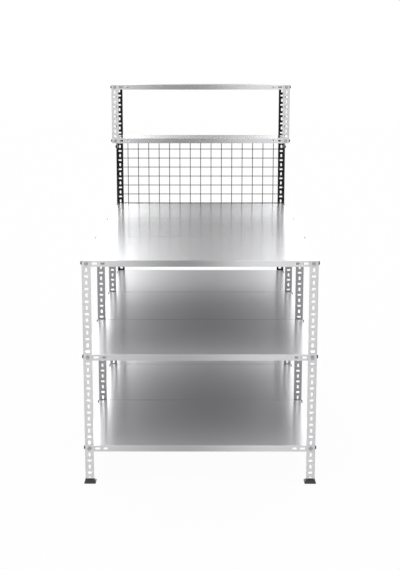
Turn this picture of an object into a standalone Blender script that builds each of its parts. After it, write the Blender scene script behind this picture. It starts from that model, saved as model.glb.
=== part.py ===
"""Free-standing potting bench of bolted slotted angle and folded steel panels.

Eight slotted-angle uprights stand in four rows. Three levels of folded panels, three panels to a level,
are bolted between them. The rear pair of uprights runs up past the worktop and carries two half-depth
shelves, tied together at the front by a pair of short uprights. A welded wire panel closes the gap
between the worktop and the lower of the two shelves, and every upright stands in a plastic foot.

Axes: +X to the right, +Y to the rear, +Z up. The origin is on the floor, under the middle of the bench.
Lengths are in millimetres until they reach a mesh.
"""

import math

import bmesh
import bpy

MM = 0.001

# Driving dimensions
PANEL_WIDTH = 914.0
PANEL_DEPTH = 610.0
SHELF_DEPTH = 305.0
LIP_HEIGHT = 25.0
PANEL_SHEET = 1.2
ANGLE_WIDTH = 35.0
ANGLE_SHEET = 2.0
SLOT_PERIOD = 50.0
FIRST_STANDING_SLOT = 12.5
SLOT_LENGTH = 17.0
SLOT_WIDTH = 9.0
LIP_SLOT_LENGTH = 22.0
LIP_SLOT_FROM_EDGE = 48.2
FOOT_SOLE = 8.0
FOOT_PLATE = 5.0
FOOT_HEIGHT = 20.5
FOOT_BASE = 47.0
FOOT_SHOULDER = 40.6
FOOT_TOP = 37.4
FOOT_SLEEVE = 2.5
FIT = 0.3

# Heights of the panels' top faces above the lower ends of the uprights
BOTTOM_LEVEL = 150.0
MIDDLE_LEVEL = 525.0
WORKTOP_LEVEL = 900.0
SECOND_SHELF_LEVEL = 1275.0
TOP_SHELF_LEVEL = 1550.0

# M8 hexagon bolts
HEX_ACROSS_FLATS = 13.0
HEAD_HEIGHT = 5.3
SHANK_RADIUS = 4.0
BOLT_HOLE_RADIUS = 5.0
SHORT_SHANK = 12.0
LONG_SHANK = 14.0
MESH_SHANK = 17.0

# Welded wire panel, its washers and the corner gussets
WIRE = 4.0
WIRE_COLUMNS = 17
WIRE_ROWS = 8
WIRE_PANEL_WIDTH = 913.0
WASHER_RADIUS = 11.0
WASHER_HEIGHT = 1.6
GUSSET_SHEET = 2.0

# Derived places
BAY_PITCH = PANEL_DEPTH + ANGLE_SHEET + 2 * FIT
TOTAL_DEPTH = 3 * BAY_PITCH + ANGLE_SHEET
FRONT_FACE = -TOTAL_DEPTH / 2
REAR_FACE = TOTAL_DEPTH / 2
OUTER_FACE = PANEL_WIDTH / 2 + FIT + ANGLE_SHEET
BOLT_INSET = ANGLE_WIDTH / 2
BOLT_X = OUTER_FACE - BOLT_INSET
HALF_LIP = LIP_HEIGHT / 2
SHELF_FRONT_FACE = REAR_FACE - 2 * (ANGLE_SHEET + FIT) - SHELF_DEPTH

ROW_NAMES = ("front", "second", "third", "rear")
BAY_NAMES = ("front", "centre", "back")
SIDES = {"left": -1, "right": 1}
LOWER_LEVELS = {"bottom": BOTTOM_LEVEL, "middle": MIDDLE_LEVEL, "worktop": WORKTOP_LEVEL}
UPPER_SHELVES = {"second_shelf": SECOND_SHELF_LEVEL, "top_shelf": TOP_SHELF_LEVEL}


def clear_scene():
    for item in list(bpy.data.objects):
        bpy.data.objects.remove(item, do_unlink=True)


def make_material(name, colour, roughness, metallic):
    material = bpy.data.materials.new(name)
    material.use_nodes = True
    shader = material.node_tree.nodes["Principled BSDF"]
    shader.inputs["Base Color"].default_value = (*colour, 1.0)
    shader.inputs["Roughness"].default_value = roughness
    shader.inputs["Metallic"].default_value = metallic
    return material


def galvanised(name):
    return make_material(name, (0.62, 0.62, 0.63), 0.38, 1.0)


def black_steel(name):
    return make_material(name, (0.03, 0.03, 0.032), 0.45, 0.6)


def zinc(name):
    return make_material(name, (0.45, 0.45, 0.46), 0.35, 1.0)


def black_plastic(name):
    return make_material(name, (0.035, 0.035, 0.037), 0.55, 0.0)


# Mesh building

def place(u, v, w, axis):
    """Turns a point of an outline (u, v) at height w along an axis into X, Y, Z."""
    if axis == "X":
        return (w, u, v)
    if axis == "Y":
        return (u, w, v)
    return (u, v, w)


def add_prism(bm, outline, axis, start, end):
    """Adds a closed prism with the same outline at both ends."""
    add_loft(bm, [(start, outline), (end, outline)], axis)


def add_loft(bm, sections, axis):
    """Adds a closed body through sections of equal length, each (height along the axis, outline)."""
    rings = []
    for height, outline in sections:
        rings.append([bm.verts.new([c * MM for c in place(u, v, height, axis)]) for u, v in outline])
    bm.faces.new(rings[0])
    bm.faces.new(rings[-1])
    count = len(rings[0])
    for lower, upper in zip(rings, rings[1:]):
        for i in range(count):
            j = (i + 1) % count
            bm.faces.new((lower[i], lower[j], upper[j], upper[i]))


def add_ring(bm, outer, inner, axis, start, end):
    """Adds a closed body with a through hole, between two outlines of equal length."""
    corners = []
    for outline in (outer, inner):
        for height in (start, end):
            corners.append([bm.verts.new([c * MM for c in place(u, v, height, axis)]) for u, v in outline])
    outer_low, outer_high, inner_low, inner_high = corners
    count = len(outer)
    for i in range(count):
        j = (i + 1) % count
        bm.faces.new((outer_low[i], outer_low[j], outer_high[j], outer_high[i]))
        bm.faces.new((inner_low[j], inner_low[i], inner_high[i], inner_high[j]))
        bm.faces.new((outer_low[j], outer_low[i], inner_low[i], inner_low[j]))
        bm.faces.new((outer_high[i], outer_high[j], inner_high[j], inner_high[i]))


def finish_mesh(bm, name):
    bmesh.ops.recalc_face_normals(bm, faces=bm.faces)
    mesh = bpy.data.meshes.new(name)
    bm.to_mesh(mesh)
    bm.free()
    return mesh


def add_object(bm, name, material):
    part = bpy.data.objects.new(name, finish_mesh(bm, name))
    bpy.context.collection.objects.link(part)
    part.data.materials.append(material)
    return part


def cut(part, cutter_bm):
    """Subtracts the closed bodies in cutter_bm and keeps the result as the part's own mesh."""
    cutter = bpy.data.objects.new(part.name + "_cutter", finish_mesh(cutter_bm, "cutter"))
    bpy.context.collection.objects.link(cutter)
    cutter.display_type = "WIRE"
    cutter.hide_render = True
    modifier = part.modifiers.new("cut", "BOOLEAN")
    modifier.operation = "DIFFERENCE"
    modifier.solver = "EXACT"
    modifier.object = cutter
    graph = bpy.context.evaluated_depsgraph_get()
    result = bpy.data.meshes.new_from_object(part.evaluated_get(graph))
    part.modifiers.clear()
    part.data = result
    bpy.data.objects.remove(cutter, do_unlink=True)


# Outlines

def rectangle(u, v, width, height):
    half_u, half_v = width / 2, height / 2
    return [
        (u - half_u, v - half_v),
        (u + half_u, v - half_v),
        (u + half_u, v + half_v),
        (u - half_u, v + half_v),
    ]


def hexagon(u, v, radius, turn=0.0):
    angles = [math.radians(turn + 60 * k) for k in range(6)]
    return [(u + radius * math.cos(a), v + radius * math.sin(a)) for a in angles]


def slot(u, v, length, standing):
    """A six-sided slot, lying along u or standing along v."""
    half_width = SLOT_WIDTH / 2
    shoulder = length / 2 - half_width / 2
    points = [
        (length / 2, 0),
        (shoulder, half_width),
        (-shoulder, half_width),
        (-length / 2, 0),
        (-shoulder, -half_width),
        (shoulder, -half_width),
    ]
    if standing:
        points = [(b, a) for a, b in points]
    return [(u + a, v + b) for a, b in points]


def level_slot_stands(height):
    """Whether the slot of an upright at this height above its lower end is a standing one."""
    return abs((height - FIRST_STANDING_SLOT) % SLOT_PERIOD) < 1.0


# Uprights

def angle_outline(side, corner_y, towards_rear):
    """Angle section with its corner at the outer face; one leg runs inwards, the other along Y."""
    x = side * OUTER_FACE
    inward = -side
    along = 1 if towards_rear else -1
    return [
        (x, corner_y),
        (x + inward * ANGLE_WIDTH, corner_y),
        (x + inward * ANGLE_WIDTH, corner_y + along * ANGLE_SHEET),
        (x + inward * ANGLE_SHEET, corner_y + along * ANGLE_SHEET),
        (x + inward * ANGLE_SHEET, corner_y + along * ANGLE_WIDTH),
        (x, corner_y + along * ANGLE_WIDTH),
    ]


def make_upright(name, side, corner_y, towards_rear, bottom, top, facing_bolts, side_bolts, material):
    """One slotted angle. Bolt heights are counted from the lower ends of the long uprights."""
    bm = bmesh.new()
    add_prism(bm, angle_outline(side, corner_y, towards_rear), "Z", FOOT_SOLE + bottom, FOOT_SOLE + top)
    upright = add_object(bm, name, material)
    along = 1 if towards_rear else -1
    holes = bmesh.new()
    for height in facing_bolts:
        outline = slot(side * BOLT_X, FOOT_SOLE + height, SLOT_LENGTH, level_slot_stands(height))
        add_prism(holes, outline, "Y", corner_y - along * 1.0, corner_y + along * (ANGLE_SHEET + 1.0))
    for height in side_bolts:
        middle = corner_y + along * BOLT_INSET
        outline = slot(middle, FOOT_SOLE + height, SLOT_LENGTH, level_slot_stands(height))
        add_prism(holes, outline, "X", side * (OUTER_FACE + 1.0), side * (OUTER_FACE - ANGLE_SHEET - 1.0))
    cut(upright, holes)
    return upright


def row_face(row):
    """Front face of the facing leg in rows 0 to 2, rear face of it in row 3."""
    return REAR_FACE if row == 3 else FRONT_FACE + row * BAY_PITCH


def bolt_height(level):
    return level - HALF_LIP


GUSSET_LOW_BOLT = bolt_height(SECOND_SHELF_LEVEL) - SLOT_PERIOD
MESH_BOLT = bolt_height(SECOND_SHELF_LEVEL) - SLOT_PERIOD / 2


def make_uprights():
    lower = [bolt_height(level) for level in LOWER_LEVELS.values()]
    upper = [bolt_height(level) for level in UPPER_SHELVES.values()]
    for row, row_name in enumerate(ROW_NAMES):
        rear = row == 3
        for side_name, side in SIDES.items():
            name = f"{row_name}_upright_{side_name}"
            make_upright(
                name,
                side,
                row_face(row),
                not rear,
                0.0,
                TOP_SHELF_LEVEL if rear else WORKTOP_LEVEL,
                lower + upper + [MESH_BOLT] if rear else lower,
                lower + upper + [GUSSET_LOW_BOLT] if rear else lower,
                black_steel(name) if rear else galvanised(name),
            )
    for side_name, side in SIDES.items():
        name = f"shelf_upright_{side_name}"
        make_upright(
            name,
            side,
            SHELF_FRONT_FACE,
            True,
            SECOND_SHELF_LEVEL - LIP_HEIGHT,
            TOP_SHELF_LEVEL,
            upper,
            upper,
            galvanised(name),
        )


# Folded panels

def make_panel(name, front, depth, level, side_bolt_places, extra_slots=()):
    """A tray folded down on all four sides, with a bolt hole at each end of every bolted lip."""
    top = FOOT_SOLE + level
    middle = front + depth / 2
    outer = rectangle(0, middle, PANEL_WIDTH, depth)
    inner = rectangle(0, middle, PANEL_WIDTH - 2 * PANEL_SHEET, depth - 2 * PANEL_SHEET)
    bm = bmesh.new()
    rings = []
    for outline, height in (
        (inner, top - PANEL_SHEET),
        (inner, top - LIP_HEIGHT),
        (outer, top - LIP_HEIGHT),
        (outer, top),
    ):
        rings.append([bm.verts.new((u * MM, v * MM, height * MM)) for u, v in outline])
    bm.faces.new(rings[0])
    bm.faces.new(rings[-1])
    for first, second in zip(rings, rings[1:]):
        for i in range(4):
            j = (i + 1) % 4
            bm.faces.new((first[i], first[j], second[j], second[i]))
    panel = add_object(bm, name, galvanised(name))

    holes = bmesh.new()
    height = top - HALF_LIP
    wall = PANEL_SHEET + 1.0
    for side in SIDES.values():
        outline = hexagon(side * BOLT_X, height, BOLT_HOLE_RADIUS)
        add_prism(holes, outline, "Y", front - 1.0, front + wall)
        add_prism(holes, outline, "Y", front + depth - wall, front + depth + 1.0)
        outer_x, inner_x = side * (PANEL_WIDTH / 2 + 1.0), side * (PANEL_WIDTH / 2 - wall)
        for y in side_bolt_places:
            add_prism(holes, hexagon(y, height, BOLT_HOLE_RADIUS), "X", outer_x, inner_x)
        for y in extra_slots:
            add_prism(holes, slot(y, height, LIP_SLOT_LENGTH, False), "X", outer_x, inner_x)
    cut(panel, holes)
    return panel


GUSSET_FAR_BOLT_Y = REAR_FACE - ANGLE_SHEET - FIT - LIP_SLOT_FROM_EDGE


def make_panels():
    for level_name, level in LOWER_LEVELS.items():
        for bay, bay_name in enumerate(BAY_NAMES):
            face = row_face(bay)
            places = [face + BOLT_INSET]
            if bay == 2:
                places.append(REAR_FACE - BOLT_INSET)
            name = f"{level_name}_panel_{bay_name}"
            make_panel(name, face + ANGLE_SHEET + FIT, PANEL_DEPTH, level, places)
    for name, level in UPPER_SHELVES.items():
        places = [SHELF_FRONT_FACE + BOLT_INSET, REAR_FACE - BOLT_INSET]
        extra = [GUSSET_FAR_BOLT_Y] if name == "second_shelf" else []
        make_panel(name, SHELF_FRONT_FACE + ANGLE_SHEET + FIT, SHELF_DEPTH, level, places, extra)


# Corner gussets under the second shelf

def make_gussets():
    high = FOOT_SOLE + bolt_height(SECOND_SHELF_LEVEL)
    low = FOOT_SOLE + GUSSET_LOW_BOLT
    near = REAR_FACE - BOLT_INSET
    margin = 10.0
    outline = [
        (near + margin, high + margin),
        (GUSSET_FAR_BOLT_Y - margin, high + margin),
        (GUSSET_FAR_BOLT_Y - margin, high - margin / 2),
        (near - margin, low - margin),
        (near + margin, low - margin),
    ]
    face = PANEL_WIDTH / 2 - PANEL_SHEET - FIT
    for side_name, side in SIDES.items():
        bm = bmesh.new()
        add_prism(bm, outline, "X", side * face, side * (face - GUSSET_SHEET))
        name = f"gusset_{side_name}"
        gusset = add_object(bm, name, galvanised(name))
        holes = bmesh.new()
        for y, z in ((near, high), (GUSSET_FAR_BOLT_Y, high), (near, low)):
            add_prism(
                holes,
                hexagon(y, z, BOLT_HOLE_RADIUS),
                "X",
                side * (face + 1.0),
                side * (face - GUSSET_SHEET - 1.0),
            )
        cut(gusset, holes)


# Bolts

def make_bolt(name, axis, u, v, outer, inward, shank):
    """A hexagon bolt whose head bears on the plane at outer; its shank points along inward."""
    turn = 30.0
    seat = outer - inward * FIT
    head = hexagon(u, v, HEX_ACROSS_FLATS / math.sqrt(3), turn)
    body = hexagon(u, v, SHANK_RADIUS, turn)
    bm = bmesh.new()
    sections = [
        (seat - inward * HEAD_HEIGHT, head),
        (seat, head),
        (seat, body),
        (seat + inward * shank, body),
    ]
    add_loft(bm, sections, axis)
    add_object(bm, name, zinc(name))


def make_corner_bolts(level_name, level, face):
    """The facing and the side bolts that hold a panel's two front corners to their uprights."""
    z = FOOT_SOLE + bolt_height(level)
    for side_name, side in SIDES.items():
        name = f"{level_name}_bolt_front_{side_name}"
        make_bolt(name, "Y", side * BOLT_X, z, face, 1, SHORT_SHANK)
        name = f"{level_name}_bolt_side_{side_name}"
        make_bolt(name, "X", face + BOLT_INSET, z, side * OUTER_FACE, -side, SHORT_SHANK)


def make_bolts():
    for level_name, level in LOWER_LEVELS.items():
        make_corner_bolts(level_name, level, row_face(0))
    for level_name, level in UPPER_SHELVES.items():
        make_corner_bolts(level_name, level, SHELF_FRONT_FACE)
    low = FOOT_SOLE + GUSSET_LOW_BOLT
    for side_name, side in SIDES.items():
        name = f"gusset_bolt_{side_name}"
        make_bolt(name, "X", REAR_FACE - BOLT_INSET, low, side * OUTER_FACE, -side, LONG_SHANK)


# Welded wire panel with its bolts and washers

def make_wire_panel():
    """A grid of crossing wires, one body, standing on the worktop in front of the rear uprights."""
    low = FOOT_SOLE + WORKTOP_LEVEL + FIT
    high = FOOT_SOLE + SECOND_SHELF_LEVEL - LIP_HEIGHT - FIT
    back = REAR_FACE - ANGLE_SHEET - FIT
    front = back - WIRE

    def grid_lines(first, last, count):
        """Edges of the wires' strips: each wire gives a low and a high one."""
        edges = []
        for k in range(count):
            centre = first + (last - first) * k / (count - 1)
            edges += [centre - WIRE / 2, centre + WIRE / 2]
        return edges

    half = (WIRE_PANEL_WIDTH - WIRE) / 2
    xs = grid_lines(-half, half, WIRE_COLUMNS)
    zs = grid_lines(low + WIRE / 2, high - WIRE / 2, WIRE_ROWS)
    bm = bmesh.new()
    verts = {}

    def corner(i, j, y):
        key = (i, j, y)
        if key not in verts:
            verts[key] = bm.verts.new((xs[i] * MM, y * MM, zs[j] * MM))
        return verts[key]

    def filled(i, j):
        if not (0 <= i < len(xs) - 1 and 0 <= j < len(zs) - 1):
            return False
        return i % 2 == 0 or j % 2 == 0

    for i in range(len(xs) - 1):
        for j in range(len(zs) - 1):
            if not filled(i, j):
                continue
            for y in (front, back):
                ends = ((i, j), (i + 1, j), (i + 1, j + 1), (i, j + 1))
                bm.faces.new([corner(a, b, y) for a, b in ends])
            walls = (
                ((i - 1, j), (i, j), (i, j + 1)),
                ((i + 1, j), (i + 1, j), (i + 1, j + 1)),
                ((i, j - 1), (i, j), (i + 1, j)),
                ((i, j + 1), (i, j + 1), (i + 1, j + 1)),
            )
            for neighbour, start, end in walls:
                if filled(*neighbour):
                    continue
                places = ((start, front), (end, front), (end, back), (start, back))
                bm.faces.new([corner(*grid_place, y) for grid_place, y in places])
    add_object(bm, "wire_panel", zinc("wire_panel"))


def make_wire_panel_fixings():
    z = FOOT_SOLE + MESH_BOLT
    washer_face = REAR_FACE - ANGLE_SHEET - FIT - WIRE - FIT
    for side_name, side in SIDES.items():
        x = side * BOLT_X
        make_bolt(f"wire_panel_bolt_{side_name}", "Y", x, z, REAR_FACE, -1, MESH_SHANK)
        rim = circle(x, z, WASHER_RADIUS)
        hole = circle(x, z, BOLT_HOLE_RADIUS)
        washer = bmesh.new()
        add_ring(washer, rim, hole, "Y", washer_face, washer_face - WASHER_HEIGHT)
        name = f"wire_panel_washer_{side_name}"
        add_object(washer, name, zinc(name))


def circle(u, v, radius):
    angles = [math.radians(30 * k) for k in range(12)]
    return [(u + radius * math.cos(a), v + radius * math.sin(a)) for a in angles]


# Feet

def make_foot(name, side, face, towards_rear):
    """A foot that flares to a square plate, with an angle-shaped socket open towards the bench's inside."""
    along = 1 if towards_rear else -1
    x, y = side * BOLT_X, face + along * BOLT_INSET
    flare = (
        (0.0, FOOT_BASE),
        (2.5, FOOT_BASE),
        (4.5, FOOT_SHOULDER + 2.0),
        (8.8, FOOT_SHOULDER),
        (10.5, FOOT_TOP),
        (FOOT_HEIGHT, FOOT_TOP),
    )
    bm = bmesh.new()
    add_loft(bm, [(height, rectangle(x, y, size, size)) for height, size in flare], "Z")
    foot = add_object(bm, name, black_plastic(name))
    socket = bmesh.new()
    outer_x, outer_y = side * (OUTER_FACE + FIT), face - along * FIT
    reach, wall = ANGLE_WIDTH + 2 * FIT, ANGLE_SHEET + 2 * FIT
    outline = [
        (outer_x, outer_y),
        (outer_x - side * reach, outer_y),
        (outer_x - side * reach, outer_y + along * wall),
        (outer_x - side * wall, outer_y + along * wall),
        (outer_x - side * wall, outer_y + along * reach),
        (outer_x, outer_y + along * reach),
    ]
    add_prism(socket, outline, "Z", FOOT_SOLE - FIT, FOOT_HEIGHT + 1.0)
    cut(foot, socket)
    inside = bmesh.new()
    near_x, far_x = outer_x - side * (wall + FOOT_SLEEVE), outer_x - side * FOOT_BASE
    near_y, far_y = outer_y + along * (wall + FOOT_SLEEVE), outer_y + along * FOOT_BASE
    corner = rectangle(
        (near_x + far_x) / 2, (near_y + far_y) / 2, abs(far_x - near_x), abs(far_y - near_y)
    )
    add_prism(inside, corner, "Z", FOOT_PLATE, FOOT_HEIGHT + 1.0)
    cut(foot, inside)


def make_feet():
    for row, row_name in enumerate(ROW_NAMES):
        for side_name, side in SIDES.items():
            make_foot(f"{row_name}_foot_{side_name}", side, row_face(row), row != 3)


def main():
    clear_scene()
    make_uprights()
    make_panels()
    make_gussets()
    make_bolts()
    make_wire_panel()
    make_wire_panel_fixings()
    make_feet()


main()
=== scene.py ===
"""Looks of the potting bench on its CAD frame: slotted angle, panels, wire panel, hardware, feet.

Lengths are in metres. Places come from the frame's nodes; the sizes below are those of the details.
"""

import math

import bmesh
import bpy
from mathutils import Matrix, Vector


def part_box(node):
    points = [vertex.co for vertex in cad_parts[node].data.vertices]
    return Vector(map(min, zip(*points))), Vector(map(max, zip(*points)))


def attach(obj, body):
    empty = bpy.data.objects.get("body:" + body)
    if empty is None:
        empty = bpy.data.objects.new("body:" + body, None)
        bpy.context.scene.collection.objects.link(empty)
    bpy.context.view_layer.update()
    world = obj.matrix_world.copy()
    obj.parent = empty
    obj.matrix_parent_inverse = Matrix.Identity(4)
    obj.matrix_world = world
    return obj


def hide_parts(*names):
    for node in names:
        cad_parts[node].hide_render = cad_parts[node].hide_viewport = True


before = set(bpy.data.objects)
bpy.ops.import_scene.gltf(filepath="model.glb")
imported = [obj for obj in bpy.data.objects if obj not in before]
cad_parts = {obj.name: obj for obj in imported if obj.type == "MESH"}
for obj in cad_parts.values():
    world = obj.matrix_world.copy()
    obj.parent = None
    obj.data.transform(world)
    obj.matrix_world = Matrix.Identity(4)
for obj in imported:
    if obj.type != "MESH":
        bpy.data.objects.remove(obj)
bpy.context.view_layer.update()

MM = 0.001

# Slotted angle
ANGLE_WIDTH = 35 * MM
ANGLE_SHEET = 2 * MM
ANGLE_BEND = 3 * MM
SLOT_ROW = 25 * MM
SLOT_INSET = 17.5 * MM
SLOT_LENGTH = 17 * MM
SLOT_WIDTH = 9 * MM

# Folded panels. Along a lip from the panel's edge: the middle and length of each slot, and where
# the stretch of lip round it ends.
PANEL_SHEET = 1.2 * MM
PANEL_BEND = 2.5 * MM
LIP_HEIGHT = 25 * MM
LIP_HOLES = ((15.2 * MM, 12 * MM), (48.2 * MM, 22 * MM), (79.7 * MM, 18 * MM))
LIP_CELLS = (31 * MM, 64 * MM, 95 * MM)

# Meshes: steps round a bend and along a cell's side, points round a rim, a ring and a hole, and
# degrees from point to point at a slot's end
BEND_STEPS = 5
CELL_STEPS = 4
RIM_POINTS = 16
RING_POINTS = 24
HOLE_POINTS = 20
SLOT_STEP = 30

# Points of a pattern are told apart on a grid of this many lines to the metre, and edges of one by
# this much. Points of a plate nearer than the last are joined.
PATTERN_GRID = 1e7
SAME_POINT = 1e-9
PLATE_WELD = 1e-6

# Edges that turn by more degrees than this are drawn sharp
SHEET_SHARP = 35
HARDWARE_SHARP = 28
FOOT_SHARP = 25

# Gussets
GUSSET_SHEET = 2 * MM
GUSSET_INSET = 10 * MM
GUSSET_CORNER = 4 * MM
GUSSET_HOLE = 4.5 * MM
GUSSET_EDGE = 0.2 * MM

# Hardware
HEX_FLATS = 13 * MM
HEAD_HEIGHT = 5.3 * MM
NUT_HEIGHT = 6.5 * MM
SHANK_RADIUS = 4 * MM
THREAD_PITCH = 1.25 * MM
THREAD_DEPTH = 0.6 * MM
THREAD_START = 2 * MM
TIP_RADIUS = SHANK_RADIUS - THREAD_DEPTH * 1.6
TIP_HEIGHT = 0.6 * MM
NECK_HEIGHT = 1 * MM
BEARING_RADIUS = HEX_FLATS / 2 * 0.94
BEARING_HEIGHT = 0.35 * MM
CHAMFER_START = HEX_FLATS / 2 * 0.95
CHAMFER_SLOPE = math.tan(math.radians(30))
DISH_RIM = HEX_FLATS / 2 * 0.55
DISH_FLOOR = HEX_FLATS / 2 * 0.48
DISH_DEPTH = 0.35 * MM
NUT_BORE = SHANK_RADIUS + 0.05 * MM
NUT_COUNTERSINK = 0.4 * MM
WASHER_BORE = SHANK_RADIUS + 0.4 * MM
WASHER_EDGE = 0.2 * MM
WASHER_GAP = 0.1 * MM
FIT = 0.3 * MM
SHORT_SHANK = 12 * MM
LONG_SHANK = 14 * MM
WIRE_PANEL_SHANK = 17 * MM
TURN_STEP = 37

# What a bolt and its nut clamp
PLAIN_GRIP = ANGLE_SHEET + FIT + PANEL_SHEET
SEAM_GRIP = PLAIN_GRIP + FIT + PANEL_SHEET
GUSSET_GRIP = PLAIN_GRIP + FIT + GUSSET_SHEET
LIP_GRIP = PANEL_SHEET + FIT + GUSSET_SHEET

# Wire panel
WIRE_RADIUS = 2 * MM
WIRE_COLUMNS = 17
WIRE_ROWS = 8
WIRE_OVERLAP = 0.5 * MM
WIRE_DEPTH = 4 * WIRE_RADIUS - WIRE_OVERLAP
WIRE_EDGE = WIRE_RADIUS * 0.25

# Feet: the outside is (height, half width) in millimetres, and the cutters reach past it
FOOT_PROFILE = (
    (0.0, 23.0),
    (0.6, 23.5),
    (2.0, 23.5),
    (2.6, 22.9),
    (4.5, 21.3),
    (8.4, 20.4),
    (8.9, 20.2),
    (10.4, 18.9),
    (10.9, 18.7),
    (19.9, 18.7),
    (20.5, 18.3),
)
FOOT_SOLE = 8 * MM
FOOT_CORNER = 4 * MM
FOOT_PLATE = 5 * MM
FOOT_SLEEVE = 2.5 * MM
CUTTER_TOP = FOOT_PROFILE[-1][0] * MM + 2 * MM
CUTTER_SIDE = 30 * MM

# Studio. Each light is (direction, level) across along X, up along Z and to the sides along |X|.
# LIGHT_SEAM is how far to each side of Y = 0 the two lights blend.
AHEAD_ACROSS = (
    (-0.2, 1.7),
    (-0.1, 1.8),
    (-0.065, 1.5),
    (-0.035, 0.3),
    (-0.01, 0.02),
    (0.01, 0.4),
    (0.055, 2.6),
    (0.085, 1.5),
    (0.2, 1.5),
)
AHEAD_UP = (
    (-1.0, 0.5),
    (-0.4, 0.72),
    (-0.15, 0.9),
    (0.0, 0.7),
    (0.3, 0.9),
    (0.6, 1.2),
    (1.0, 1.4),
)
AHEAD_SIDES = ((0.0, 1.0), (0.25, 1.0), (0.5, 0.72), (1.0, 0.72))
BEHIND_ACROSS = (
    (-0.25, 6.0),
    (-0.12, 5.6),
    (-0.087, 4.2),
    (-0.064, 2.3),
    (-0.04, 1.3),
    (-0.02, 0.95),
    (0.0, 0.65),
    (0.027, 0.9),
    (0.046, 1.25),
    (0.07, 2.0),
    (0.1, 3.6),
    (0.14, 4.6),
    (0.25, 5.0),
)
BEHIND_UP = (
    (-1.0, 0.8),
    (-0.3, 0.8),
    (0.0, 0.62),
    (0.2, 0.96),
    (0.4, 1.4),
    (0.6, 0.95),
    (0.8, 0.4),
    (1.0, 0.3),
)
BEHIND_SIDES = ((0.0, 1.0), (0.35, 1.0), (0.6, 0.2), (1.0, 0.2))
RAMP_TOP = 8.0
LIGHT_SEAM = 0.15
FLOOR_REACH = 30.0
FLOOR_DROP = 0.0002

SIDES = {"left": -1, "right": 1}
ROWS = ("front", "second", "third", "rear")
BAYS = ("front", "centre", "back")
LEVELS = ("bottom", "middle", "worktop")
SHELVES = ("second_shelf", "top_shelf")
FRONT, BACK = Vector((0, -1, 0)), Vector((0, 1, 0))
UP, ACROSS = Vector((0, 0, 1)), Vector((1, 0, 0))


# Camera

def make_camera():
    """Square on to the bench's open end, a little above the top shelf, with a long lens."""
    data = bpy.data.cameras.new("camera")
    data.sensor_width = 36.0
    data.lens = 68.92
    data.shift_y = -0.0343
    camera = bpy.data.objects.new("camera", data)
    bpy.context.scene.collection.objects.link(camera)
    right, distance, height = 0.0071, 4.157, 1.636
    camera.location = (right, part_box("front_upright_left")[0].y - distance, height)
    tilt_down, turn_left = 10.19, 0.102
    camera.rotation_euler = (math.radians(90 - tilt_down), 0.0, math.radians(turn_left))
    data.clip_end = 200.0
    bpy.context.scene.camera = camera


# Sheet metal

class Sheet:
    """Polygons on a flat pattern, bent into place by a function and given the sheet's thickness.

    bend(u, v, depth) gives the point at (u, v) of the pattern, depth below the outer surface.
    """

    def __init__(self, bend, thickness):
        self.bend = bend
        self.thickness = thickness
        self.index = {}
        self.flat = []
        self.polygons = []

    def point(self, u, v):
        """The index of a point: those on one crossing of the pattern's grid are one."""
        key = (round(u * PATTERN_GRID), round(v * PATTERN_GRID))
        if key not in self.index:
            self.index[key] = len(self.flat)
            self.flat.append((u, v))
        return self.index[key]

    def polygon(self, corners):
        self.polygons.append([self.point(*corner) for corner in corners])

    def plain_cell(self, low, high):
        self.polygon(cell_rim(low, high))

    def slot_cell(self, low, high, centre, length, width, standing):
        rim = cell_rim(low, high)
        hole = slot_rim(centre, length, width, standing)
        for i in range(len(rim)):
            j = (i + 1) % len(rim)
            self.polygon((hole[i], rim[i], rim[j], hole[j]))

    def mesh(self, name):
        """The sheet with its edges walled, shaded by the true normals of its flats and bends."""
        count = len(self.flat)
        outer = [Vector(self.bend(u, v, 0.0)) for u, v in self.flat]
        inner = [Vector(self.bend(u, v, self.thickness)) for u, v in self.flat]
        edges = sorted({(p[i - 1], p[i]) for p in self.polygons for i in range(len(p))})
        whole = set(edges)
        faces = [list(p) for p in self.polygons]
        faces += [[i + count for i in reversed(p)] for p in self.polygons]
        faces += [[b, a, a + count, b + count] for a, b in edges if (b, a) not in whole]
        mesh = solid_mesh(name, outer + inner, faces)
        across = [(a - b).normalized() for a, b in zip(outer, inner)]
        normals = []
        for face in mesh.polygons:
            if all(i < count for i in face.vertices):
                normals += [across[i] for i in face.vertices]
            elif all(i >= count for i in face.vertices):
                normals += [-across[i - count] for i in face.vertices]
            else:
                normals += [face.normal.copy() for _ in face.vertices]
        mesh.normals_split_custom_set(normals)
        return mesh


def cell_rim(low, high):
    """Sixteen points round a rectangle, anticlockwise from the middle of its high-u side."""
    (u0, v0), (u1, v1) = low, high

    def at(s, t):
        return (u0 + (u1 - u0) * s, v0 + (v1 - v0) * t)

    steps = (0.5, 0.75, 1.0)
    rim = [at(1, t) for t in steps]
    rim += [at(s, 1) for s in (0.75, 0.5, 0.25, 0.0)]
    rim += [at(0, t) for t in (0.75, 0.5, 0.25, 0.0)]
    rim += [at(s, 0) for s in (0.25, 0.5, 0.75, 1.0)]
    return rim + [at(1, 0.25)]


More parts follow.
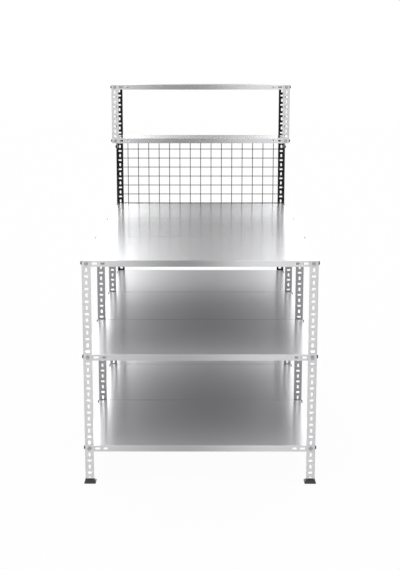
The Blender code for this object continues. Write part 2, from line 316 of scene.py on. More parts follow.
def slot_rim(centre, length, width, standing):
    """Sixteen points round a slot with round ends, in step with cell_rim.

    Seven lie on each end's arc, and one halfway along each straight side.
    """
    radius = width / 2
    reach = length / 2 - radius
    rim = []
    for k in range(RIM_POINTS):
        if standing:
            angle = math.radians(SLOT_STEP * (k - 1) if 1 <= k <= 7 else SLOT_STEP * (k - 3))
            if k in (0, 8):
                rim.append((centre[0] + (radius if k == 0 else -radius), centre[1]))
                continue
            rise = reach if k <= 7 else -reach
            x, y = radius * math.cos(angle), rise + radius * math.sin(angle)
            rim.append((centre[0] + x, centre[1] + y))
            continue
        if k in (4, 12):
            rim.append((centre[0], centre[1] + (radius if k == 4 else -radius)))
            continue
        left = 5 <= k <= 11
        steps = k - 2 if left else k if k < 4 else k - 16
        angle = math.radians(SLOT_STEP * steps)
        side = -reach if left else reach
        x, y = side + radius * math.cos(angle), radius * math.sin(angle)
        rim.append((centre[0] + x, centre[1] + y))
    return rim


def write_out(bm, mesh):
    """Ends an edit: the faces point out, and the mesh takes them."""
    bmesh.ops.recalc_face_normals(bm, faces=bm.faces)
    bm.to_mesh(mesh)
    bm.free()


def shade(mesh, sharp_degrees):
    mesh.shade_smooth()
    mesh.set_sharp_from_angle(angle=math.radians(sharp_degrees))


def solid_mesh(name, verts, faces):
    mesh = bpy.data.meshes.new(name)
    mesh.from_pydata([tuple(v) for v in verts], [], faces)
    bm = bmesh.new()
    bm.from_mesh(mesh)
    write_out(bm, mesh)
    shade(mesh, SHEET_SHARP)
    return mesh


def add_piece(name, mesh, material, slot_name, *nodes, place=(0.0, 0.0, 0.0), turn=0.0):
    """A visible piece that rides on the bench and stands for the CAD nodes named."""
    piece = bpy.data.objects.new(name, mesh)
    bpy.context.scene.collection.objects.link(piece)
    piece.location = place
    piece.rotation_euler.z = turn
    if not mesh.materials:
        mesh.materials.append(material)
    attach(piece, "root")
    if nodes:
        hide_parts(*nodes)


def strip(sheet, us, vs):
    """Quads between two or more lines of the pattern, cut at every v."""
    for u0, u1 in zip(us, us[1:]):
        for v0, v1 in zip(vs, vs[1:]):
            sheet.polygon(((u0, v0), (u1, v0), (u1, v1), (u0, v1)))


def spread(start, end, count):
    return [start + (end - start) * k / count for k in range(count + 1)]


# Slotted angle

def angle_mesh(name, node):
    """The whole slotted angle of a CAD upright, whose lowest slot stands."""
    low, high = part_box(node)
    side = -1 if low.x < 0 else 1
    outer = low.x if side < 0 else high.x
    towards_rear = not node.startswith("rear")
    face = low.y if towards_rear else high.y
    along = 1 if towards_rear else -1
    flat = ANGLE_WIDTH - ANGLE_BEND
    arc = ANGLE_BEND * math.pi / 2

    def bend(u, v, depth):
        if u <= flat:
            inward, back = ANGLE_WIDTH - u, depth
        elif u < flat + arc:
            turn = (u - flat) / ANGLE_BEND
            inward = ANGLE_BEND - (ANGLE_BEND - depth) * math.sin(turn)
            back = ANGLE_BEND - (ANGLE_BEND - depth) * math.cos(turn)
        else:
            inward, back = depth, ANGLE_BEND + u - flat - arc
        return (outer - side * inward, face + along * back, v)

    sheet = Sheet(bend, ANGLE_SHEET)
    second = flat + arc
    flanges = (
        (0.0, ANGLE_WIDTH - SLOT_INSET),
        (second, second + SLOT_INSET - ANGLE_BEND),
    )
    rows = round((high.z - low.z) / SLOT_ROW)
    for row in range(rows):
        v0 = low.z + row * SLOT_ROW
        v1 = v0 + SLOT_ROW
        standing = row % 2 == 0
        for u0, slot_u in flanges:
            centre = (slot_u, (v0 + v1) / 2)
            sheet.slot_cell((u0, v0), (u0 + flat, v1), centre, SLOT_LENGTH, SLOT_WIDTH, standing)
        strip(sheet, spread(flat, second, BEND_STEPS), spread(v0, v1, CELL_STEPS))
    return sheet.mesh(name)


# The second and third uprights take a darker copy of the galvanised angle: painted shade for their
# place under the worktop.
UPRIGHT_FINISH_AND_SHADE = {
    "front": ("angle_steel", "galvanised_steel"),
    "second": ("painted_shade_angle_steel", "galvanised_steel"),
    "third": ("painted_shade_angle_steel", "galvanised_steel"),
    # The rear uprights are galvanised like the rest; their near-black is painted shade.
    "rear": ("black_steel", "black_steel"),
}


def make_uprights(materials):
    for side in SIDES:
        for row in ROWS:
            node = f"{row}_upright_{side}"
            finish, slot_name = UPRIGHT_FINISH_AND_SHADE[row]
            name = f"slotted_angle_{row}_{side}"
            add_piece(name, angle_mesh(name, node), materials[finish], slot_name, node)
        node = f"shelf_upright_{side}"
        name = f"slotted_angle_shelf_{side}"
        add_piece(name, angle_mesh(name, node), materials["angle_steel"], "galvanised_steel", node)


# Folded panels

def panel_mesh(name, node):
    """A panel folded down on four sides, with open corners and slots at each end of each lip."""
    low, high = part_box(node)
    centre_x, centre_y = (low.x + high.x) / 2, (low.y + high.y) / 2
    half_u = (high.x - low.x) / 2 - PANEL_BEND
    half_v = (high.y - low.y) / 2 - PANEL_BEND
    arc = PANEL_BEND * math.pi / 2
    reach = arc + LIP_HEIGHT - PANEL_BEND

    def fold(length, half, depth):
        """How far out and how far down the sheet is, this far from the middle along one way."""
        past = abs(length) - half
        if past <= 0:
            return length, depth
        if past < arc:
            turn = past / PANEL_BEND
            out = half + (PANEL_BEND - depth) * math.sin(turn)
            down = PANEL_BEND - (PANEL_BEND - depth) * math.cos(turn)
        else:
            out, down = half + PANEL_BEND - depth, PANEL_BEND + past - arc
        return math.copysign(out, length), down

    def bend(u, v, depth):
        if abs(u) > half_u + SAME_POINT:
            x, down = fold(u, half_u, depth)
            y = v
        else:
            y, down = fold(v, half_v, depth)
            x = u
        return (centre_x + x, centre_y + y, high.z - down)

    sheet = Sheet(bend, PANEL_SHEET)
    hole_out = arc + LIP_HEIGHT / 2 - PANEL_BEND

    def lip_cells(half):
        """Stretches along a lip: the ends of each, and the place and length of its slot."""
        edge = half + PANEL_BEND
        near = []
        start = -half
        for stop, (place, length) in zip(LIP_CELLS, LIP_HOLES):
            near.append((start, -edge + stop, -edge + place, length))
            start = -edge + stop
        far = [(-end, -begin, -place, length) for begin, end, place, length in reversed(near)]
        return near + [(start, -start, None, None)] + far

    def breaks(half):
        values = []
        for begin, end, _, _ in lip_cells(half):
            values += spread(begin, end, CELL_STEPS)[:-1]
        return values + [half]

    def flap(half_out, half_along, sign, swap):
        """One bend and its lip, out along +u or -u, or with swap along +v or -v."""

        def cell(low_out, high_out, low_along, high_along):
            outs = sorted((sign * low_out, sign * high_out))
            first, last = (outs[0], low_along), (outs[1], high_along)
            return (first[::-1], last[::-1]) if swap else (first, last)

        bends = spread(half_out, half_out + arc, BEND_STEPS)
        along = breaks(half_along)
        for b0, b1 in zip(bends, bends[1:]):
            for a0, a1 in zip(along, along[1:]):
                (u0, v0), (u1, v1) = cell(b0, b1, a0, a1)
                sheet.polygon(((u0, v0), (u1, v0), (u1, v1), (u0, v1)))
        for begin, end, place, length in lip_cells(half_along):
            low_corner, high_corner = cell(half_out + arc, half_out + reach, begin, end)
            if place is None:
                sheet.plain_cell(low_corner, high_corner)
                continue
            centre = (sign * (half_out + hole_out), place)
            if swap:
                centre = centre[::-1]
            sheet.slot_cell(low_corner, high_corner, centre, length, SLOT_WIDTH, not swap)

    for sign in (-1, 1):
        flap(half_u, half_v, sign, False)
        flap(half_v, half_u, sign, True)
    top = [(half_u, v) for v in breaks(half_v)]
    top += [(u, half_v) for u in reversed(breaks(half_u)[:-1])]
    top += [(-half_u, v) for v in reversed(breaks(half_v)[:-1])]
    top += [(u, -half_v) for u in breaks(half_u)[1:-1]]
    sheet.polygon(top)
    return sheet.mesh(name)


def make_panels(materials):
    nodes = [f"{level}_panel_{bay}" for level in LEVELS for bay in BAYS] + list(SHELVES)
    for node in nodes:
        name = f"folded_{node}"
        finish = "dull_sheet_steel" if node.startswith(("bottom", "middle")) else "sheet_steel"
        add_piece(name, panel_mesh(name, node), materials[finish], "galvanised_steel", node)


# Round and hexagonal shapes, as stacks of rings

def ring(radius, height):
    """A circle at a height. The radius may be a function of the angle, the height of the radius."""
    points = []
    for k in range(RING_POINTS):
        angle = 2 * math.pi * k / RING_POINTS
        reach = radius(angle) if callable(radius) else radius
        level = height(reach) if callable(height) else height
        points.append(Vector((reach * math.cos(angle), reach * math.sin(angle), level)))
    return points


def hexagon(angle):
    turn = (math.degrees(angle) % 60) - 30
    return HEX_FLATS / 2 / math.cos(math.radians(turn))


def add_stack(bm, rings, closed, matrix):
    """Joins rings into a body: capped at both ends, or closed on itself as a nut is."""
    made = [[bm.verts.new(matrix @ point) for point in one] for one in rings]
    pairs = list(zip(made, made[1:]))
    if closed:
        pairs.append((made[-1], made[0]))
    else:
        bm.faces.new(made[0])
        bm.faces.new(made[-1])
    for lower, upper in pairs:
        count = len(lower)
        for i in range(count):
            j = (i + 1) % count
            bm.faces.new((lower[i], lower[j], upper[j], upper[i]))


def chamfered(height):
    """Level of a hexagon's rim under a 30 degree chamfer that starts just inside its flats."""
    return lambda reach: height - (reach - CHAMFER_START) * CHAMFER_SLOPE


def bolt_rings(shank):
    """A hexagon bolt along +Z, with its head's bearing face at 0 and its shank below."""
    rings = [ring(TIP_RADIUS, -shank)]
    turns = int((shank - THREAD_START) / THREAD_PITCH)
    for k in range(turns):
        level = -shank + TIP_HEIGHT + k * THREAD_PITCH
        rings.append(ring(SHANK_RADIUS, level))
        rings.append(ring(SHANK_RADIUS - THREAD_DEPTH, level + THREAD_PITCH / 2))
    return rings + [
        ring(SHANK_RADIUS, -NECK_HEIGHT),
        ring(SHANK_RADIUS, 0.0),
        ring(BEARING_RADIUS, 0.0),
        ring(BEARING_RADIUS, BEARING_HEIGHT),
        ring(hexagon, BEARING_HEIGHT),
        ring(hexagon, chamfered(HEAD_HEIGHT)),
        ring(CHAMFER_START, HEAD_HEIGHT),
        ring(DISH_RIM, HEAD_HEIGHT),
        ring(DISH_FLOOR, HEAD_HEIGHT - DISH_DEPTH),
    ]


def nut_rings():
    """A hexagon nut along +Z, from 0 to its height, open through the middle."""
    return [
        ring(NUT_BORE + NUT_COUNTERSINK, 0.0),
        ring(CHAMFER_START, 0.0),
        ring(hexagon, lambda reach: (reach - CHAMFER_START) * CHAMFER_SLOPE),
        ring(hexagon, chamfered(NUT_HEIGHT)),
        ring(CHAMFER_START, NUT_HEIGHT),
        ring(NUT_BORE + NUT_COUNTERSINK, NUT_HEIGHT),
        ring(NUT_BORE, NUT_HEIGHT - NUT_COUNTERSINK),
        ring(NUT_BORE, NUT_COUNTERSINK),
    ]


def washer_rings(radius, thick):
    """A washer along +Z, from 0 to its thickness, with its outer edges eased."""
    return [
        ring(WASHER_BORE, 0.0),
        ring(radius - WASHER_EDGE, 0.0),
        ring(radius, WASHER_EDGE),
        ring(radius, thick - WASHER_EDGE),
        ring(radius - WASHER_EDGE, thick),
        ring(WASHER_BORE, thick),
    ]


def wire_rings(length):
    """A wire along +Z with its cut ends slightly rounded."""
    return [
        ring(WIRE_RADIUS - WIRE_EDGE, 0.0),
        ring(WIRE_RADIUS, WIRE_EDGE),
        ring(WIRE_RADIUS, length - WIRE_EDGE),
        ring(WIRE_RADIUS - WIRE_EDGE, length),
    ]


def pointing(place, outward, turn_degrees):
    """Puts a stack made along +Z at place, pointing outward, turned about its own axis."""
    turn = Matrix.Rotation(math.radians(turn_degrees), 4, "Z")
    aim = outward.to_track_quat("Z", "Y").to_matrix().to_4x4()
    return Matrix.Translation(place) @ aim @ turn


def stack_mesh(name, stacks):
    """One mesh from several (rings, closed, matrix)."""
    bm = bmesh.new()
    for rings, closed, matrix in stacks:
        add_stack(bm, rings, closed, matrix)
    mesh = bpy.data.meshes.new(name)
    write_out(bm, mesh)
    shade(mesh, HARDWARE_SHARP)
    return mesh


class Hardware:
    """Every bolt and nut of the bench. Each fastener is tightened to a different angle."""

    def __init__(self, bright, in_shade):
        self.bright = bright
        self.in_shade = in_shade
        self.count = 0

    def turn(self):
        self.count += 1
        return (self.count * TURN_STEP) % 60

    def bolt(self, place, outward, shank):
        return bolt_rings(shank), False, pointing(place, outward, self.turn())

    def nut(self, place, outward, grip):
        """The nut on a bolt whose head bears at place: grip is what the two clamp."""
        seat = place - outward * (grip + FIT)
        return nut_rings(), True, pointing(seat, -outward, self.turn())

    # A fastener in shade takes the darker copy of the zinc, which is painted shade.
    def piece(self, name, stacks, *nodes, in_shade=False):
        material = self.in_shade if in_shade else self.bright
        add_piece(name, stack_mesh(name, stacks), material, "zinc_hardware", *nodes)


def bearing_place(node, outward):
    """Where the head of a CAD bolt bears."""
    low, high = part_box(node)
    middle = (low + high) / 2
    reach = abs((high - low).dot(outward)) / 2
    return middle + outward * (reach - HEAD_HEIGHT)


def make_level_hardware(hardware, level):
    """The bolts and nuts that hold one level to the uprights."""
    shelf = level in SHELVES
    panel = level if shelf else f"{level}_panel_front"
    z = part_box(panel)[1].z - LIP_HEIGHT / 2
    gusseted = level == "second_shelf"
    side_shank = LONG_SHANK if gusseted else SHORT_SHANK
    side_grip = GUSSET_GRIP if gusseted else PLAIN_GRIP
    nuts, outer_bolts, seam_bolts = [], [], []
    for side, sign in SIDES.items():
        outward = Vector((sign, 0, 0))
        for facing, direction in (("front", FRONT), ("side", outward)):
            node = f"{level}_bolt_{facing}_{side}"
            place = bearing_place(node, direction)
            bolt = hardware.bolt(place, direction, SHORT_SHANK)
            # Heads that face sideways get the painted shade, the darker copy of the zinc.
            hardware.piece(f"hex_{node}", [bolt], node, in_shade=facing == "side")
            nuts.append(hardware.nut(place, direction, PLAIN_GRIP + FIT))
        for row in ("rear",) if shelf else ("second", "third", "rear"):
            low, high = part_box(f"{row}_upright_{side}")
            outer = high.x if sign > 0 else low.x
            slot_x = high.x - SLOT_INSET if sign > 0 else low.x + SLOT_INSET
            slot_y = high.y - SLOT_INSET if row == "rear" else low.y + SLOT_INSET
            place = Vector((outer + sign * FIT, slot_y, z))
            outer_bolts.append(hardware.bolt(place, outward, side_shank))
            nuts.append(hardware.nut(place, outward, side_grip + FIT))
            if row == "rear":
                place = Vector((slot_x, high.y + FIT, z))
                outer_bolts.append(hardware.bolt(place, BACK, SHORT_SHANK))
                nuts.append(hardware.nut(place, BACK, PLAIN_GRIP + FIT))
            else:
                place = Vector((slot_x, low.y - 2 * FIT - PANEL_SHEET, z))
                seam_bolts.append(hardware.bolt(place, FRONT, LONG_SHANK))
                nuts.append(hardware.nut(place, FRONT, SEAM_GRIP + FIT))
    hardware.piece(f"{level}_nuts", nuts)
    # The outer bolts face sideways and get the same painted shade.
    hardware.piece(f"{level}_outer_bolts", outer_bolts, in_shade=True)
    if seam_bolts:
        hardware.piece(f"{level}_seam_bolts", seam_bolts)


def make_gusset_hardware(hardware):
    """The bolts and nuts that hold the gussets to the rear uprights and to the second shelf."""
    shelf_low, shelf_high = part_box("second_shelf")
    z = shelf_high.z - LIP_HEIGHT / 2
    nuts, lip_bolts = [], []
    for side, sign in SIDES.items():
        outward = Vector((sign, 0, 0))
        node = f"gusset_bolt_{side}"
        place = bearing_place(node, outward)
        bolt = hardware.bolt(place, outward, LONG_SHANK)
        # This head faces sideways and gets the painted shade, the darker copy of the zinc.
        hardware.piece(f"hex_{node}", [bolt], node, in_shade=True)
        nuts.append(hardware.nut(place, outward, GUSSET_GRIP + FIT))
        lip_x = shelf_high.x if sign > 0 else shelf_low.x
        place = Vector((lip_x + sign * FIT, shelf_high.y - LIP_HOLES[1][0], z))
        lip_bolts.append(hardware.bolt(place, outward, SHORT_SHANK))
        nuts.append(hardware.nut(place, outward, LIP_GRIP + FIT))
    hardware.piece("gusset_nuts", nuts)
    hardware.piece("gusset_lip_bolts", lip_bolts)


def make_wire_panel_hardware(hardware):
    """A bolt, a washer and a nut at each side, which hold the wire panel to a rear upright."""
    nuts = []
    for side in SIDES:
        node = f"wire_panel_bolt_{side}"
        place = bearing_place(node, BACK)
        hardware.piece(f"hex_{node}", [hardware.bolt(place, BACK, WIRE_PANEL_SHANK)], node)
        washer = f"wire_panel_washer_{side}"
        low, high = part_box(washer)
        middle = (low + high) / 2
        wires_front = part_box(f"rear_upright_{side}")[1].y - ANGLE_SHEET - FIT - WIRE_DEPTH
        seat = Vector((middle.x, wires_front - WASHER_GAP, middle.z))
        thick = high.y - low.y
        rings = washer_rings((high.x - low.x) / 2, thick)
        hardware.piece(f"round_{washer}", [(rings, True, pointing(seat, FRONT, 0))], washer)
        place = seat + FRONT * (thick + WASHER_GAP)
        nuts.append((nut_rings(), True, pointing(place, FRONT, hardware.turn())))
    hardware.piece("wire_panel_nuts", nuts)


def make_hardware(materials):
    hardware = Hardware(materials["zinc"], materials["painted_shade_zinc"])
    for level in LEVELS + SHELVES:
        make_level_hardware(hardware, level)
    make_gusset_hardware(hardware)
    make_wire_panel_hardware(hardware)


# Wire panel

def make_wire_panel(materials):
    """Upright wires in front, crosswise wires welded behind them."""
    low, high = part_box("wire_panel")
    back_y = high.y - WIRE_RADIUS
    front_y = back_y - 2 * WIRE_RADIUS + WIRE_OVERLAP
    stacks = []
    for x in spread(low.x + WIRE_RADIUS, high.x - WIRE_RADIUS, WIRE_COLUMNS - 1):
        start = Vector((x, front_y, low.z))
        stacks.append((wire_rings(high.z - low.z), False, pointing(start, UP, 0)))
    for z in spread(low.z + WIRE_RADIUS, high.z - WIRE_RADIUS, WIRE_ROWS - 1):
        start = Vector((low.x, back_y, z))
        stacks.append((wire_rings(high.x - low.x), False, pointing(start, ACROSS, 0)))
    mesh = stack_mesh("welded_wire_panel", stacks)
    add_piece("welded_wire_panel", mesh, materials["wire"], "galvanised_wire", "wire_panel")


# Gussets

def gusset_mesh(name, low, high):
    """A flat plate with rounded corners and three holes, drawn along Y and Z and made thick."""
    outline = (
        (high.y, high.z),
        (low.y, high.z),
        (low.y, high.z - 1.5 * GUSSET_INSET),
        (high.y - 2 * GUSSET_INSET, low.z),
        (high.y, low.z),
    )
    holes = (
        (high.y - GUSSET_INSET, high.z - GUSSET_INSET),
        (low.y + GUSSET_INSET, high.z - GUSSET_INSET),
        (high.y - GUSSET_INSET, low.z + GUSSET_INSET),
    )
    curve = bpy.data.curves.new(name, "CURVE")
    curve.dimensions = "2D"
    curve.fill_mode = "BOTH"
    curve.extrude = (high.x - low.x) / 2 - GUSSET_EDGE
    curve.bevel_depth = GUSSET_EDGE
    curve.offset = -GUSSET_EDGE
    add_outline(curve, rounded(outline, GUSSET_CORNER))
    for centre in holes:
        add_outline(curve, circle(centre, GUSSET_HOLE, HOLE_POINTS))
    shape = bpy.data.objects.new(f"{name}_outline", curve)
    bpy.context.scene.collection.objects.link(shape)
    graph = bpy.context.evaluated_depsgraph_get()
    mesh = bpy.data.meshes.new_from_object(shape.evaluated_get(graph))
    bpy.data.objects.remove(shape, do_unlink=True)
    middle = (low.x + high.x) / 2
    mesh.transform(Matrix(((0, 0, 1, middle), (1, 0, 0, 0), (0, 1, 0, 0), (0, 0, 0, 1))))
    bm = bmesh.new()
    bm.from_mesh(mesh)
    bmesh.ops.remove_doubles(bm, verts=bm.verts, dist=PLATE_WELD)
    write_out(bm, mesh)
    mesh.materials.clear()
    return mesh


def make_gussets(materials):
    for side in SIDES:
        node = f"gusset_{side}"
        mesh = gusset_mesh(node, *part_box(node))
        add_piece(f"plate_{node}", mesh, materials["angle_steel"], "galvanised_steel", node)


def add_outline(curve, points):
    spline = curve.splines.new("POLY")
    spline.points.add(len(points) - 1)
    for place, (a, b) in zip(spline.points, points):
        place.co = (a, b, 0.0, 1.0)
    spline.use_cyclic_u = True


def circle(centre, radius, count):
    angles = [2 * math.pi * k / count for k in range(count)]
    x, y = centre
    return [(x + radius * math.cos(a), y + radius * math.sin(a)) for a in angles]


def rounded(points, radius, steps=5):
    """A polygon with its corners rounded to a radius."""
    result = []
    for i, point in enumerate(points):
        corner = Vector(point)
        before = (Vector(points[i - 1]) - corner).normalized()
        after = (Vector(points[(i + 1) % len(points)]) - corner).normalized()
        half = before.angle(after) / 2
        reach = radius / math.tan(half)
        centre = corner + (before + after).normalized() * (radius / math.sin(half))
        first = corner + before * reach - centre
        last = corner + after * reach - centre
        start = math.atan2(first.y, first.x)
        sweep = (math.atan2(last.y, last.x) - start + math.pi) % (2 * math.pi) - math.pi
        for k in range(steps + 1):
            angle = start + sweep * k / steps
            x, y = radius * math.cos(angle), radius * math.sin(angle)
            result.append((centre.x + x, centre.y + y))
    return result


# Feet

def box_stack(low, high):
    """A box as two rings."""
    corners = ((low[0], low[1]), (high[0], low[1]), (high[0], high[1]), (low[0], high[1]))
    return [[Vector((x, y, z)) for x, y in corners] for z in (low[2], high[2])]


def square_ring(half, height):
    corners = ((half, half), (-half, half), (-half, -half), (half, -half))
    outline = rounded(corners, FOOT_CORNER)
    return [Vector((x, y, height)) for x, y in outline]


def foot_mesh():
    """A moulded foot: a square plate that carries a sleeve.

    Its angle-shaped socket has its corner towards -X, -Y. The sleeve is open towards +X, +Y.
    """
    body = [square_ring(half * MM, height * MM) for height, half in FOOT_PROFILE]
    outer = -ANGLE_WIDTH / 2 - FIT
    inner = outer + ANGLE_SHEET + 2 * FIT
    far = ANGLE_WIDTH / 2 + FIT
    outline = (
        (outer, outer),
        (far, outer),
        (far, inner),
        (inner, inner),
        (inner, far),
        (outer, far),
    )
    socket = [[Vector((x, y, z)) for x, y in outline] for z in (FOOT_SOLE - FIT, CUTTER_TOP)]
    sleeve = inner + FOOT_SLEEVE
    inside = box_stack((sleeve, sleeve, FOOT_PLATE), (CUTTER_SIDE, CUTTER_SIDE, CUTTER_TOP))
    names = ("foot_body", "foot_socket", "foot_inside")
    items = [
        bpy.data.objects.new(name, stack_mesh(name, [(rings, False, Matrix())]))
        for name, rings in zip(names, (body, socket, inside))
    ]
    for item in items:
        bpy.context.scene.collection.objects.link(item)
    foot = items[0]
    for cutter in items[1:]:
        cut = foot.modifiers.new(cutter.name, "BOOLEAN")
        cut.operation = "DIFFERENCE"
        cut.solver = "EXACT"
        cut.object = cutter
    graph = bpy.context.evaluated_depsgraph_get()
    mesh = bpy.data.meshes.new_from_object(foot.evaluated_get(graph))
    for item in items:
        bpy.data.objects.remove(item, do_unlink=True)
    shade(mesh, FOOT_SHARP)
    return mesh


def make_feet(materials):
    """A foot on each upright, turned so that its socket takes the upright's angle."""
    mesh = foot_mesh()
    quarter_turns = {
        ("front", "left"): 0,
        ("front", "right"): 90,
        ("rear", "right"): 180,
        ("rear", "left"): 270,
    }
    for row in ROWS:
        for side in SIDES:
            node = f"{row}_foot_{side}"
            low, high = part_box(node)
            facing = "rear" if row == "rear" else "front"
            add_piece(
                f"moulded_{node}",
                mesh,
                materials["plastic"],
                "black_plastic",
                node,
                place=((low.x + high.x) / 2, (low.y + high.y) / 2, 0.0),
                turn=math.radians(quarter_turns[(facing, side)]),
            )


# Materials

class Nodes:
    """Short calls for building a node tree."""

    def __init__(self, tree):
        self.tree = tree

    def add(self, kind, inputs=None, **settings):
        made = self.tree.nodes.new(kind)
        for key, value in settings.items():
            setattr(made, key, value)
        for key, value in (inputs or {}).items():
            if isinstance(value, bpy.types.NodeSocket):
                self.tree.links.new(value, made.inputs[key])
            else:
                made.inputs[key].default_value = value
        return made

    def link(self, output, target):
        self.tree.links.new(output, target)

    def math(self, operation, first, second=0.0):
        return self.add("ShaderNodeMath", {0: first, 1: second}, operation=operation).outputs[0]

    def bump(self, shader, height, strength, distance):
        inputs = {"Height": height, "Strength": strength, "Distance": distance}
        made = self.add("ShaderNodeBump", inputs)
        self.link(made.outputs["Normal"], shader.inputs["Normal"])

    def noise(self, place, scale, detail):
        inputs = {"Vector": place, "Scale": scale, "Detail": detail}
        return self.add("ShaderNodeTexNoise", inputs).outputs["Fac"]

    def blend(self, share, first, second):
        """A colour between two. A Mix node has its colours at inputs 6 and 7 and at output 2."""
        inputs = {0: share, 6: (*first, 1.0), 7: (*second, 1.0)}
        return self.add("ShaderNodeMix", inputs, data_type="RGBA").outputs[2]

    def scale(self, value, low, high, to_low, to_high):
        ends = {"From Min": low, "From Max": high, "To Min": to_low, "To Max": to_high}
        return self.add("ShaderNodeMapRange", {"Value": value, **ends}).outputs["Result"]

    def ramp(self, value, stops):
        """A smooth function of value, through (value, level) stops with levels up to RAMP_TOP."""
        low, high = stops[0][0], stops[-1][0]
        made = self.add("ShaderNodeValToRGB", {0: self.scale(value, low, high, 0.0, 1.0)})
        made.color_ramp.interpolation = "CARDINAL"
        elements = made.color_ramp.elements
        while len(elements) < len(stops):
            elements.new(0.5)
        for element, (place, level) in zip(elements, stops):
            grey = level / RAMP_TOP
            element.position = (place - low) / (high - low)
            element.color = (grey, grey, grey, 1.0)
        share = self.add("ShaderNodeSeparateColor", {0: made.outputs[0]}).outputs[0]
        return self.math("MULTIPLY", share, RAMP_TOP)


def new_material(name):
    material = bpy.data.materials.new(name)
    material.use_nodes = True
    nodes = Nodes(material.node_tree)
    shader = material.node_tree.nodes["Principled BSDF"]
    place = nodes.add("ShaderNodeTexCoord").outputs["Object"]
    return material, nodes, shader, place


def metal(
    name,
    dark,
    light,
    roughness,
    mottle=1.0,
    brushed=0.0,
    metallic=1.0,
    relief=0.02 * MM,
    shine=0.5,
):
    """Coated steel: faint crystals of zinc, a slow cloudiness, and a fine grain along X.

    dark and light are the ends of its grey, roughness its middle value, mottle how much its grey
    varies, brushed how far the grain stretches its reflections, relief the height of its texture,
    and shine the strength of a coating's own highlights.
    """
    material, nodes, shader, place = new_material(name)
    cells = {"Vector": place, "Scale": 110.0, "Randomness": 1.0}
    colour = nodes.add("ShaderNodeTexVoronoi", cells).outputs["Color"]
    crystal = nodes.add("ShaderNodeSeparateColor", {0: colour}).outputs[0]
    cloud = nodes.noise(place, 5.0, 3.0)
    stretch = {"Vector": place, "Scale": (3.0, 400.0, 400.0)}
    grain = nodes.noise(nodes.add("ShaderNodeMapping", stretch).outputs[0], 1.0, 3.0)
    tone = nodes.scale(crystal, 0.0, 1.0, 0.5 - 0.1 * mottle, 0.5 + 0.1 * mottle)
    tone = nodes.math("ADD", tone, nodes.scale(cloud, 0.3, 0.7, -0.15 * mottle, 0.15 * mottle))
    tone = nodes.math("ADD", tone, nodes.scale(grain, 0.3, 0.7, -0.2 * mottle, 0.2 * mottle))
    nodes.link(nodes.blend(tone, dark, light), shader.inputs["Base Color"])
    rough = nodes.scale(cloud, 0.3, 0.7, roughness - 0.02 * mottle, roughness + 0.02 * mottle)
    nodes.link(rough, shader.inputs["Roughness"])
    shader.inputs["Metallic"].default_value = metallic
    shader.inputs["Specular IOR Level"].default_value = shine
    if relief:
        fine, coarse = nodes.math("MULTIPLY", grain, 0.7), nodes.math("MULTIPLY", crystal, 0.3)
        height = nodes.math("ADD", fine, coarse)
        nodes.bump(shader, height, 0.15, relief)
    if brushed:
        shader.inputs["Anisotropic"].default_value = brushed
        normal = nodes.add("ShaderNodeNewGeometry").outputs["Normal"]
        # Not quite X, as a face square to X would have no tangent
        along = {0: normal, 1: (1.0, 0.001, 0.002)}
        turned = nodes.add("ShaderNodeVectorMath", along, operation="CROSS_PRODUCT")
        nodes.link(turned.outputs[0], shader.inputs["Tangent"])
    return material


def moulded_plastic(name):
    """Black plastic with a fine moulded texture and a little dust on what faces up."""
    material, nodes, shader, place = new_material(name)
    pores = nodes.noise(place, 1600.0, 3.0)
    cloud = nodes.noise(place, 60.0, 4.0)
    normal = nodes.add("ShaderNodeNewGeometry").outputs["Normal"]
    up = nodes.add("ShaderNodeSeparateXYZ", {0: normal}).outputs["Z"]
    dust = nodes.math("MULTIPLY", nodes.scale(up, 0.2, 1.0, 0.0, 0.6), cloud)
    colour = nodes.blend(dust, (0.010, 0.010, 0.011), (0.05, 0.05, 0.05))
    nodes.link(colour, shader.inputs["Base Color"])
    nodes.link(nodes.scale(cloud, 0.3, 0.7, 0.42, 0.56), shader.inputs["Roughness"])
    nodes.bump(shader, pores, 0.3, 0.15 * MM)
    return material


def make_materials():
    """Every finish by the name that the pieces use, with painted shade for some uprights and bolts.
    Greys are a pair, dark and light.
    """
    sheet = ((0.49, 0.49, 0.50), (0.56, 0.56, 0.57))
    angle = ((0.52, 0.52, 0.53), (0.66, 0.66, 0.67))
    # Painted shade: a darker copy of the angle's grey, for the middle uprights under the worktop
    painted_shade_angle = ((0.27, 0.27, 0.28), (0.37, 0.37, 0.38))
    # Painted shade: near-black for the rear uprights, which are galvanised like the others
    black = ((0.004, 0.004, 0.005), (0.010, 0.010, 0.011))
    zinc = ((0.28, 0.28, 0.29), (0.40, 0.40, 0.41))
    # Painted shade: a darker copy of the zinc, for bolt heads that face sideways
    painted_shade_zinc = ((0.025, 0.025, 0.027), (0.05, 0.05, 0.052))
    wire = ((0.04, 0.04, 0.042), (0.075, 0.075, 0.08))
    rolled = {"mottle": 0.15, "brushed": 1.0, "relief": 0.0}
    return {
        "sheet_steel": metal("galvanised_sheet", *sheet, 0.25, metallic=0.86, **rolled),
        "dull_sheet_steel": metal("dull_galvanised_sheet", *sheet, 0.32, metallic=0.8, **rolled),
        "angle_steel": metal("galvanised_angle", *angle, 0.5),
        "painted_shade_angle_steel": metal("painted_shade_galvanised_angle", *painted_shade_angle, 0.5),
        "black_steel": metal("painted_shade_black_angle", *black, 0.5, metallic=0.0, shine=0.2),
        "zinc": metal("zinc_plated_hardware", *zinc, 0.35),
        "painted_shade_zinc": metal("painted_shade_zinc_plated_hardware", *painted_shade_zinc, 0.45),
        "wire": metal("galvanised_wire", *wire, 0.6, metallic=0.2),
        "plastic": moulded_plastic("moulded_black_plastic"),
    }


# Studio

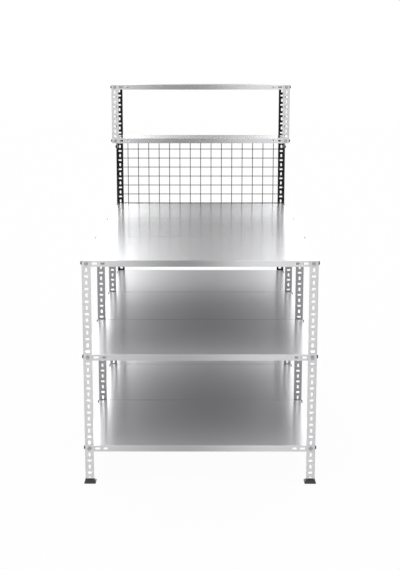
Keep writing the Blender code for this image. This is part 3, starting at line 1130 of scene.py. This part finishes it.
def make_world():
    """Soft white surroundings: light ahead of the bench, and light behind it, on its far side.

    Both are dimmer in the middle, and fall off towards the sides. The camera sees plain white.
    """
    world = bpy.data.worlds.new("studio")
    bpy.context.scene.world = world
    world.use_nodes = True
    world.node_tree.nodes.clear()
    nodes = Nodes(world.node_tree)
    direction = nodes.add("ShaderNodeTexCoord").outputs["Generated"]
    axes = nodes.add("ShaderNodeSeparateXYZ", {0: direction}).outputs
    to_the_sides = nodes.math("ABSOLUTE", axes["X"])

    def light(across, up, sides, share):
        level = nodes.math("MULTIPLY", nodes.ramp(axes["X"], across), nodes.ramp(axes["Z"], up))
        level = nodes.math("MULTIPLY", level, nodes.ramp(to_the_sides, sides))
        return nodes.math("MULTIPLY", level, share)

    rearward = nodes.scale(axes["Y"], -LIGHT_SEAM, LIGHT_SEAM, 0.0, 1.0)
    forward = nodes.math("SUBTRACT", 1.0, rearward)
    ahead = light(AHEAD_ACROSS, AHEAD_UP, AHEAD_SIDES, forward)
    behind = light(BEHIND_ACROSS, BEHIND_UP, BEHIND_SIDES, rearward)
    level = nodes.math("ADD", ahead, behind)
    lit = nodes.add("ShaderNodeBackground", {"Color": (1, 1, 1, 1), "Strength": level})
    backdrop = nodes.add("ShaderNodeBackground", {"Color": (1, 1, 1, 1), "Strength": 1.0})
    seen = nodes.add("ShaderNodeLightPath").outputs["Is Camera Ray"]
    mix = nodes.add("ShaderNodeMixShader", {0: seen, 1: lit.outputs[0], 2: backdrop.outputs[0]})
    out = nodes.add("ShaderNodeOutputWorld")
    nodes.link(mix.outputs[0], out.inputs["Surface"])


def make_floor():
    """A wide floor that glows nearly white, so that only the faintest shadow falls on it.

    Reflections and bounced light miss it and meet the world instead.
    """
    bm = bmesh.new()
    bmesh.ops.create_grid(bm, x_segments=2, y_segments=2, size=FLOOR_REACH)
    mesh = bpy.data.meshes.new("floor")
    bm.to_mesh(mesh)
    bm.free()
    floor = bpy.data.objects.new("floor", mesh)
    floor.location.z = -FLOOR_DROP
    bpy.context.scene.collection.objects.link(floor)
    material = bpy.data.materials.new("pale_floor")
    material.use_nodes = True
    shader = material.node_tree.nodes["Principled BSDF"]
    shader.inputs["Base Color"].default_value = (0.02, 0.02, 0.02, 1.0)
    shader.inputs["Roughness"].default_value = 0.9
    shader.inputs["Specular IOR Level"].default_value = 0.0
    shader.inputs["Emission Color"].default_value = (1.0, 1.0, 1.0, 1.0)
    shader.inputs["Emission Strength"].default_value = 0.96
    mesh.materials.append(material)
    floor.visible_glossy = False
    floor.visible_diffuse = False


def main():
    make_camera()
    bpy.context.scene.view_settings.view_transform = "Standard"
    materials = make_materials()
    make_uprights(materials)
    make_panels(materials)
    make_wire_panel(materials)
    make_gussets(materials)
    make_hardware(materials)
    make_feet(materials)
    make_world()
    make_floor()


main()
